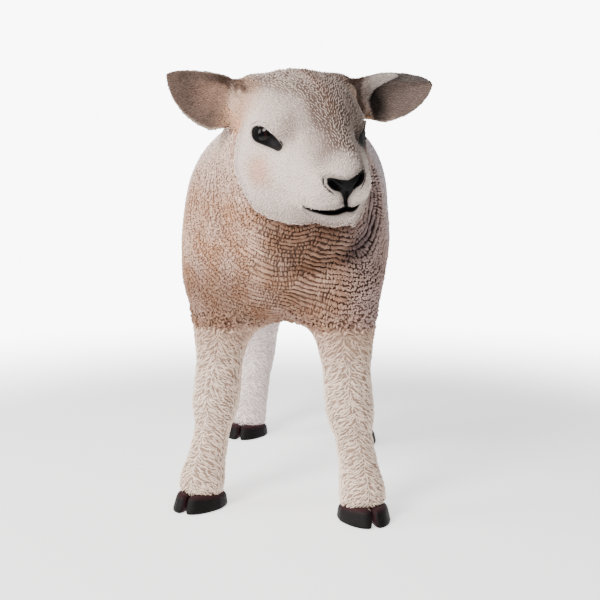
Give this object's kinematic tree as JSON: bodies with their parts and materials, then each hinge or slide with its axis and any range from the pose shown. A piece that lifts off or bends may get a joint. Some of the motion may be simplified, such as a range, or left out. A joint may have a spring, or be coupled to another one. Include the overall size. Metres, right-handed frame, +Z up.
{
  "type": "lamb statue",
  "caption": "Life-size painted garden statue of a standing Texel lamb, head turned to its left and ears held out level, on cloven hooves.",
  "frame": {"origin": "centre of the model's bounding box in plan, at the ground it stands on", "axes": "+Z up, the body faces -Y and the head turns towards +X, which is the lamb's left"},
  "size_m": [0.3672, 0.711, 0.6212],
  "materials": {
    "wool": "cast resin painted cream with a tan-brown wash in the hollows of the sculpted wool, matt",
    "fleece": "cast resin painted off-white with a light wash over sculpted wool, matt",
    "hair": "cast resin painted cream with a thin brown wash over sculpted hair strokes, matt",
    "face": "cast resin painted off-white, airbrushed grey-brown on the brow, black glossy nose, mouth and eye rims",
    "ear": "cast resin airbrushed grey-brown, matt",
    "gloss": "black eye under clear gloss lacquer",
    "hoof": "near-black satin paint, a little red at the top edge and in the cleft"
  },
  "bodies": {
    "root": {"head": "face", "ear_left": "ear", "ear_right": "ear", "eye_left": "gloss", "eye_right": "gloss", "neck": "wool", "trunk": "fleece", "tail": "fleece", "leg_front_left_upper": "hair", "leg_front_left_lower": "hair", "hoof_front_left": "hoof", "leg_front_right_upper": "hair", "leg_front_right_lower": "hair", "hoof_front_right": "hoof", "leg_hind_left_upper": "hair", "leg_hind_left_lower": "hair", "hoof_hind_left": "hoof", "leg_hind_right_upper": "hair", "leg_hind_right_lower": "hair", "hoof_hind_right": "hoof"}
  },
  "joints": []
}
